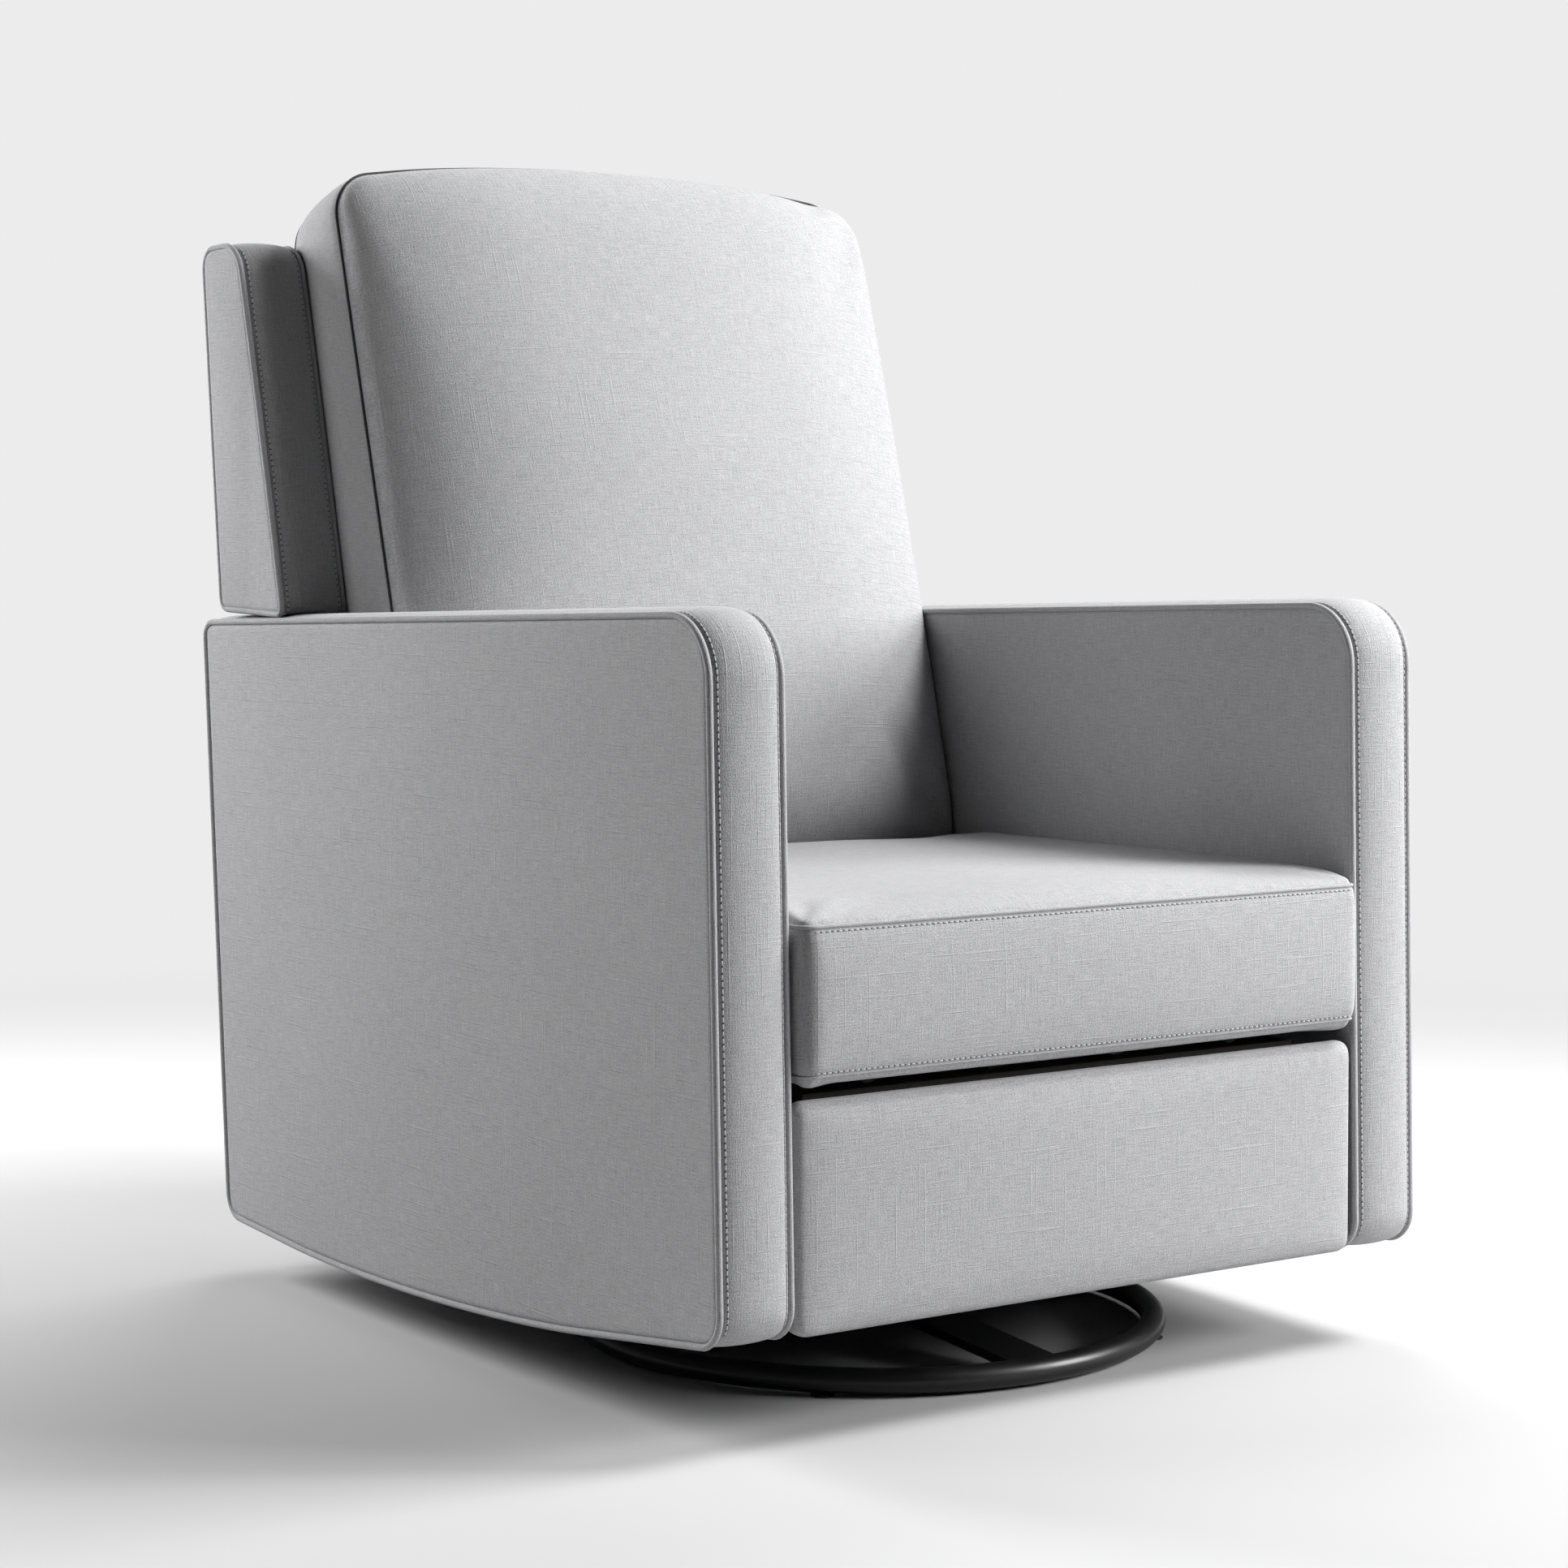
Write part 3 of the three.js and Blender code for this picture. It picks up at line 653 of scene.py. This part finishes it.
def arm(word, side):
    sides = outline(
        [(-307, 91, 24), (150, 33, 260)],
        [(538.5, 55, 20)],
        [(580.5, 622, 14)],
        [(-288.5, 650, 50)],
    )

    def place(across, up, depth):
        x = side * (ARM_FACES[0] + (ARM_FACES[1] - ARM_FACES[0]) * depth)
        return np.column_stack([np.full_like(across, x), across, up])

    def swelling(outward):
        front, top, sole = front_top_sole(outward)
        return 3.5 + 5.5 * front + 4.5 * top - 1.5 * sole

    panels = even_panel(3.0, 6, crown=1.5), even_panel(2.4, 6, crown=0.5)
    facing = ((side, 0, 0), (-side, 0, 0))
    pad = Pad(
        f"arm_padding_{word}", sides, (88, 58), place, panels, facing, swelling,
        band_steps=12, band_power=2.0,
    )
    refined(pad.object)
    not_under = pad.outward[0][:, 2] > -0.6
    trims = [welt(pad, f"arm_piping_{at}_{word}", depth) for depth, at in enumerate(SEAMS)]
    for at, beside in zip(SEAMS, (0.05, 0.95)):
        trims.append(topstitch(pad, f"arm_topstitch_{at}_{word}", beside, 6, not_under))
    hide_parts(f"arm_cover_{word}")
    attach("chair_frame", pad.object, *trims)


for word, side in SIDES.items():
    arm(word, side)

# ---- wings -------------------------------------------------------------------------------------

WING_FACES = (367.0, 304.5)
WING_TOE_IN = (5.0, 10.0)  # how far the outer front edge is set in, and back
WING_REAR = 570.0  # where the toe-in starts, and WING_TOE_LENGTH further forward it is full
WING_TOE_LENGTH = 90.0


def wing(word, side):
    sides = outline(
        [(421, 634.5, 8)],
        [(545, 638, 10)],
        [(578.5, 978, 20)],
        [(508, 980, 26), (460, 806, 150)],
    )

    def place(across, up, depth):
        front = np.clip((WING_REAR - across) / WING_TOE_LENGTH, 0, 1) * (1 - depth)
        x = WING_FACES[0] + (WING_FACES[1] - WING_FACES[0]) * depth - WING_TOE_IN[0] * front
        return np.column_stack([side * x, across + WING_TOE_IN[1] * front, up])

    def swelling(outward):
        front, top, sole = front_top_sole(outward)
        return 3 + 3.5 * front + 1.5 * top - 3 * sole

    panels = even_panel(2.8, 6, crown=2), even_panel(2.2, 6)
    facing = ((side, 0, 0), (-side, 0, 0))
    pad = Pad(
        f"wing_padding_{word}", sides, (22, 44), place, panels, facing, swelling,
        band_steps=10, band_power=2.0,
    )
    refined(pad.object)
    trims = []
    for depth, at in enumerate(SEAMS):
        trims.append(welt(pad, f"wing_piping_{at}_{word}", depth, out=0.8, forward=0.6))
    front = pad.outward[0][:, 1] < -0.5
    for at, beside in zip(SEAMS, (0.07, 0.93)):
        trims.append(topstitch(pad, f"wing_topstitch_{at}_{word}", beside, 5, front))
    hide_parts(f"wing_{word}")
    attach("backrest", pad.object, *trims)


for word, side in SIDES.items():
    wing(word, side)

# ---- seat cushion ------------------------------------------------------------------------------


def seat():
    sides = outline([(-293, -311, 13)], [(293, -311, 10)], [(293, 236, 22)], [(-293, 236, 22)])
    top_seam, lower_seam = 409.0, 293.0

    def place(across, up, depth):
        sag = 5 * np.clip((up + 150) / 380, 0, 1) * (1 - depth)
        z = top_seam + (lower_seam - top_seam) * depth - sag
        lean = -2.0 * depth * np.clip(-up / 311, 0, 1)
        return np.column_stack([across, up + lean, z])

    def swelling(outward):
        return 2.5 + 2.5 * np.clip(-outward[:, 1], 0, 1)

    top = Panel(12.5, 16, 8, 62, 60, crown=-1, overhang=(0.8, 0.8))
    under = Panel(9.0, 9, 9, 12, 20)
    facing = ((0, 0, 1), (0, 0, -1))
    pad = Pad(
        "seat_cover", sides, (60, 56), place, (top, under), facing, swelling,
        band_steps=12, band_reach=0.3,
    )
    inflate(pad.object, 2.0, 3.0)
    refined(pad.object)
    trims = [
        welt(pad, "seat_piping_top", 0, radius=1.5, out=0.6, forward=0.4),
        welt(pad, "seat_piping_lower", 1, radius=1.1, out=0.2, forward=0.1),
    ]
    front = pad.outward[0][:, 1] < -0.9
    for at, beside in (("top", 0.026), ("lower", 0.982)):
        trims.append(topstitch(pad, f"seat_topstitch_{at}", beside, 3, front))
    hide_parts("seat_cushion")
    attach("seat_carriage", pad.object, *trims)


seat()

# ---- back cushion ------------------------------------------------------------------------------

REAR_ROUNDING = 64.0  # of the back cushion's rear top corners
CORNER_POWER = 3.7  # of the rounded square that the front corners follow; a circle's is 2


def rounder(over, above):
    """What scales a point in a squarish corner, given in shares of its size, onto a round one."""
    over, above = np.maximum(over, 1e-9), np.maximum(above, 1e-9)
    squarish = (over**CORNER_POWER + above**CORNER_POWER) ** (1 / CORNER_POWER)
    return squarish / np.hypot(over, above)


def back():
    half, shoulder = 293, 1042
    sides = outline(
        [(-half, 378, 24)],
        [(half, 378, 24)],
        [(half, shoulder, 38), (0, 1081, 230)],
        [(-half, shoulder, 38)],
    )

    def place(across, up, depth):
        front = 346 + 0.284 * (up - 643)
        rear = 456 + 0.2234 * (up - 635)
        drop = 14 * depth * (up - 378) / 668
        inside = half - np.abs(across)
        over = np.maximum(1 - inside / REAR_ROUNDING, 0)
        above = np.maximum((up - shoulder - 0.134 * inside) / REAR_ROUNDING + 1, 0)
        pull = REAR_ROUNDING * depth * (1 - rounder(over, above))
        x = across - np.sign(across) * over * pull
        return np.column_stack([x, front + (rear - front) * depth, up - drop - above * pull])

    def swelling(outward):
        return 2.0 + 4.5 * np.abs(outward[:, 0])

    front = Panel(60, 165, 165, 78, 95, crown=38, overhang=(2, 17), power=2.0)
    rear = even_panel(5, 30)
    facing = ((0, -1, 0.284), (0, 1, -0.2234))
    panels = front, rear
    pad = Pad("back_cover", sides, (60, 66), place, panels, facing, swelling, band_steps=12)
    inflate(pad.object, 2.0, 4.0)
    refined(pad.object)
    # The back cushion's piping cords wear the near-black cloth: painted shade for the thin shadow
    # line along its seams.
    trims = [
        welt(pad, "back_piping_front", 0, radius=1.3, out=1.2, forward=-0.2, material=SEAM_SHADOW_PIPING),
        welt(pad, "back_piping_rear", 1, radius=1.3, out=1.2, forward=0.0, material=SEAM_SHADOW_PIPING),
    ]
    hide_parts("back_cushion")
    attach("backrest", pad.object, *trims)


back()

# ---- footrest panel ----------------------------------------------------------------------------


def footrest():
    half = 295.5
    sides = outline([(-half, 88, 12)], [(half, 88, 12)], [(half, 269, 9)], [(-half, 269, 9)])

    def place(across, up, depth):
        front, rear = -302.5 - 2.5 * (268 - up) / 180, -289.5
        return np.column_stack([across, front + (rear - front) * depth, up])

    def swelling(outward):
        return 1.5 + 2.0 * np.clip(outward[:, 2], 0, 1)

    panels = Panel(6, 26, 26, 18, 14, crown=2.5), even_panel(1.0, 10)
    facing = ((0, -1, 0), (0, 1, 0))
    pad = Pad("footrest_cover", sides, (64, 24), place, panels, facing, swelling, band_steps=5)
    inflate(pad.object, 1.5, 2.0)
    refined(pad.object)
    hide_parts("footrest_pad")
    attach("footrest", pad.object)


footrest()

# ---- rear panels -------------------------------------------------------------------------------


REAR_THICKNESS = 8.0


def rear_panel(name, node, body, half, low, high, cut, plane):
    """A thin padded panel that faces the rear.

    It reaches from low to high, and cut is where the rounding of its upper corners starts. plane
    gives how far back it stands at a height, how much further with each millimetre up, and that
    height."""
    sides = outline([(-half, low, 6)], [(half, low, 6)], [(half, high, cut)], [(-half, high, cut)])
    stands, slope, level = plane

    def place(across, up, depth):
        return np.column_stack([across, stands + slope * (up - level) - REAR_THICKNESS * depth, up])

    panels = even_panel(3.5, 14, crown=3), even_panel(0.8, 10)
    facing = ((0, 1, 0), (0, -1, 0))
    pad = Pad(name, sides, (52, 46), place, panels, facing, swelling_by(0.8), band_steps=4)
    refined(pad.object)
    piping = welt(pad, f"{name}_piping", 0, radius=2.4, out=-0.6, forward=0.6)
    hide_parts(node)
    attach(body, pad.object, piping)


def swelling_by(amount):
    """A band that stands out by the same amount all round."""
    return lambda outward: np.full(len(outward), amount)


def top_return():
    """The outside back's turn forward over the top of the frame."""
    half = 294
    sides = outline([(-half, 534, 4)], [(half, 534, 4)], [(half, 570, 6)], [(-half, 570, 6)])

    def place(across, up, depth):
        return np.column_stack([across, up, np.full_like(across, 974.0 - 9 * depth)])

    panels = even_panel(3.0, 9), even_panel(0.5, 4)
    facing = ((0, 0, 1), (0, 0, -1))
    swelling = swelling_by(1.0)
    pad = Pad("outside_back_return", sides, (52, 10), place, panels, facing, swelling, band_steps=4)
    attach("backrest", refined(pad.object))


rear_panel(
    "outside_back", "outside_back_panel", "backrest",
    half=295, low=334, high=970, cut=12, plane=(515, 0.0965, 330),
)
top_return()
rear_panel(
    "rear_lower_skirt", "rear_lower_panel", "chair_frame",
    half=297, low=66, high=361, cut=6, plane=(532, 0.0759, 62),
)

# ---- slack cloth between seat and back ---------------------------------------------------------

FLAP_WIDTH = 568.0
FLAP_LENGTH = 160.0  # front to rear, with the slack that the back needs to tip
FLAP_THICKNESS = 1.0
# Depth and height of the route from the seat's rear edge to the back's lower rail.
FLAP_RUN = [(239.6, 300), (242, 281), (272, 279), (302, 292), (308, 340), (300, 376.5)]


def softened(points):
    """An open line with its corners cut again and again."""
    for _ in range(4):
        near, far = 0.75 * points[:-1] + 0.25 * points[1:], 0.25 * points[:-1] + 0.75 * points[1:]
        cut = np.stack([near, far], axis=1).reshape(-1, 2)
        points = np.vstack([points[:1], cut[1:-1], points[-1:]])
    return points


def flap():
    rows, columns = 40, 72
    run = spaced(softened(np.array(FLAP_RUN, float)), np.linspace(0, 1, rows))
    across = np.linspace(-0.5, 0.5, columns) * FLAP_WIDTH
    along = np.gradient(run, axis=0)
    away = np.column_stack([along[:, 1], -along[:, 0]]) / np.linalg.norm(along, axis=1)[:, None]
    slack = np.sin(np.linspace(0, np.pi, rows)) ** 2
    wave = 1.1 * np.sin(across / 23) + 0.8 * np.sin(across / 57 + 1)
    points, faces, cloth = [], [], []
    for layer in (0, 1):
        lift = wave[None, :] * slack[:, None] + FLAP_THICKNESS * layer
        spot = run[:, None, :] + away[:, None, :] * lift[:, :, None]
        points.append(np.dstack([np.broadcast_to(across, (rows, columns)), spot]).reshape(-1, 3))
        for j in range(rows - 1):
            for i in range(columns - 1):
                corners = [(j, i), (j, i + 1), (j + 1, i + 1), (j + 1, i)]
                faces.append([(layer * rows + r) * columns + c for r, c in corners])
                places = [(across[c] * MM, r * FLAP_LENGTH / rows * MM) for r, c in corners]
                cloth.append([(*place, FLAP_CUT) for place in places])
    rim = [(0, i) for i in range(columns - 1)]
    rim += [(j, columns - 1) for j in range(rows - 1)]
    rim += [(rows - 1, i) for i in range(columns - 1, 0, -1)]
    rim += [(j, 0) for j in range(rows - 1, 0, -1)]
    for here, ahead in zip(rim, rim[1:] + rim[:1]):
        corners = [(0, here), (0, ahead), (1, ahead), (1, here)]
        faces.append([(layer * rows + r) * columns + c for layer, (r, c) in corners])
        cloth.append([(0.0, 0.0, 0.0)] * 4)
    made = woven_mesh("seat_to_back_flap", np.vstack(points), faces, cloth, LINEN)
    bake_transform(made)


flap()

# ---- ring base and springs ---------------------------------------------------------------------


RING_POINTS = 160
SPRING_POINTS = 300
SPRING_BENDS = 18
WIRE_RADIUS = 1.9


def ring_base():
    radius = (ring_high.x - ring_low.x) / 2 / MM
    thickness = (ring_high.z - ring_low.z) / MM / 2
    turns = np.linspace(0, 2 * np.pi, RING_POINTS, endpoint=False)
    height = (ring_low.z + ring_high.z) / 2 / MM
    path = np.column_stack([np.cos(turns), np.sin(turns), 0 * turns]) * (radius - thickness)
    made = tube("ring_base", path + (0, 0, height), thickness, STEEL, sides=28)
    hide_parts("base_ring")
    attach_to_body(made, "base")


def springs():
    for place_name in ("outer_left", "inner_left", "inner_right", "outer_right"):
        node = f"seat_spring_{place_name}"
        low, high = (np.array(corner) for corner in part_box(node))
        middle, reach = (low[0] + high[0]) / 2, (high[0] - low[0]) / 2 - 0.003
        along = np.linspace(low[1] + 0.004, high[1] - 0.004, SPRING_POINTS)
        swing = np.sin(np.linspace(0, SPRING_BENDS * np.pi, SPRING_POINTS))
        across = middle + reach * np.sign(swing) * np.abs(swing) ** 0.6
        path = np.column_stack([across, along, np.full(SPRING_POINTS, (low[2] + high[2]) / 2)])
        path = (path - AXIS) / MM
        made = tube(f"zigzag_spring_{place_name}", path, WIRE_RADIUS, ZINC, closed=False)
        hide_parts(node)
        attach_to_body(made, "seat_carriage")


ring_base()
springs()

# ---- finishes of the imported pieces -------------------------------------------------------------

WOODEN = ("arm_board", "seat_board", "back_stile", "back_rail", "footrest_board")
# Boards whose edges show in the gaps get the near-black wood, as painted shade.
GAP_SHADED_BOARDS = ("seat_board_front", "footrest_board")
ZINCED = ("glide_link", "seat_link", "tong_link", "swivel_bearing")
EDGE = 0.0006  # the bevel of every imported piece, in metres


def finish_of(name):
    if name.startswith(GAP_SHADED_BOARDS):
        return GAP_SHADE_WOOD
    if name.startswith(WOODEN):
        return WOOD
    if name.startswith(ZINCED):
        return ZINC
    return PLASTIC if name.startswith("floor_pad") else STEEL


def finish_frame():
    for name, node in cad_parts.items():
        if node.hide_render:
            continue
        node.data.materials.clear()
        node.data.materials.append(finish_of(name))
        edge = node.modifiers.new("edge", "BEVEL")
        edge.width = EDGE
        edge.segments = 2
        edge.limit_method = "ANGLE"


finish_frame()

# ---- studio ------------------------------------------------------------------------------------

BACKGROUND = (0.84, 0.84, 0.84, 1)  # the pale backdrop
LIT_SPOT = Vector((0, 0, 0.5))  # where the lights point
GLOW_STARTS, GLOW_FULL = 1.2, 2.7  # how far out the floor starts to glow, and glows fully


def studio_floor():
    """A floor that is paler to the camera than to the chair, and whose far part glows to it."""
    s = Shader("studio_floor", Roughness=0.9, Specular_IOR_Level=0.1)
    where = s.node("TexCoord", output=3)
    away = s.node("VectorMath", {0: where}, output=1, operation="LENGTH")
    tone = s.noise(where, 3.0)
    pale = s.mixed(tone, (0.59, 0.59, 0.59, 1), (0.605, 0.605, 0.605, 1))
    seen = s.node("LightPath")
    s.set("Base Color", s.mixed(seen, (0.46, 0.46, 0.46, 1), pale))
    glow = s.node("Emission", {"Color": BACKGROUND, "Strength": seen})
    reach = {"Value": away, 1: GLOW_STARTS, 2: GLOW_FULL}
    far = s.node("MapRange", reach, interpolation_type="SMOOTHSTEP")
    blend = s.node("MixShader", {0: far, 1: s.surface.outputs[0], 2: glow})
    s.feed(s.tree.nodes["Material Output"].inputs[0], blend)
    bpy.ops.mesh.primitive_circle_add(vertices=96, radius=30, fill_type="NGON", location=(0, 0, 0))
    floor = bpy.context.object
    floor.name = "studio_floor"
    floor.data.materials.append(s.material)


def studio_light(name, bearing, height, distance, size, power):
    """A square light, at a bearing from the front and a height above the floor, both in degrees."""
    lamp = bpy.data.lights.new(name, "AREA")
    lamp.size = size
    lamp.energy = power
    made = linked(name, lamp)
    turn, lift = math.radians(bearing), math.radians(height)
    level = math.cos(lift)
    away = Vector((math.sin(turn) * level, -math.cos(turn) * level, math.sin(lift)))
    made.location = LIT_SPOT + distance * away
    made.rotation_euler = (-away).to_track_quat("-Z", "Y").to_euler()


def studio_world():
    """A pale backdrop to the camera, which gives the chair no light."""
    world = bpy.data.worlds.new("studio")
    scene.world = world
    world.use_nodes = True
    tree = world.node_tree
    dark, seen = tree.nodes["Background"], tree.nodes.new("ShaderNodeBackground")
    dark.inputs["Strength"].default_value = 0
    seen.inputs["Color"].default_value = BACKGROUND
    mix, path = tree.nodes.new("ShaderNodeMixShader"), tree.nodes.new("ShaderNodeLightPath")
    tree.links.new(path.outputs["Is Camera Ray"], mix.inputs[0])
    tree.links.new(dark.outputs[0], mix.inputs[1])
    tree.links.new(seen.outputs[0], mix.inputs[2])
    tree.links.new(mix.outputs[0], tree.nodes["World Output"].inputs[0])


FOCAL_LENGTH = 79.34
CAMERA_SPOT = (-1823.0, -2468.2, 720.5)
CAMERA_TURN, CAMERA_DIP, CAMERA_ROLL = -35, 4.317, 0.188  # degrees


def camera():
    lens = bpy.data.cameras.new("camera")
    lens.lens = FOCAL_LENGTH
    made = linked("camera", lens)
    tilt, turn = math.radians(90 - CAMERA_DIP), math.radians(CAMERA_TURN)
    aim = Euler((tilt, 0, turn), "XYZ").to_matrix().to_4x4()
    roll = Matrix.Rotation(math.radians(CAMERA_ROLL), 4, "Z")
    made.matrix_world = Matrix.Translation(Vector(in_frame(CAMERA_SPOT))) @ aim @ roll
    scene.camera = made


studio_floor()
studio_world()
studio_light("key", 60, 48, 3.2, 1.2, 114)
studio_light("front", 45, 16, 3.2, 1.2, 108)
studio_light("top_rear", 140, 50, 3.2, 1.8, 50)
studio_light("side_fill", -112, 24, 2.6, 1.0, 17)
studio_light("rear_fill", -150, 20, 2.6, 1.0, 57)
camera()
scene.view_settings.view_transform = "Standard"
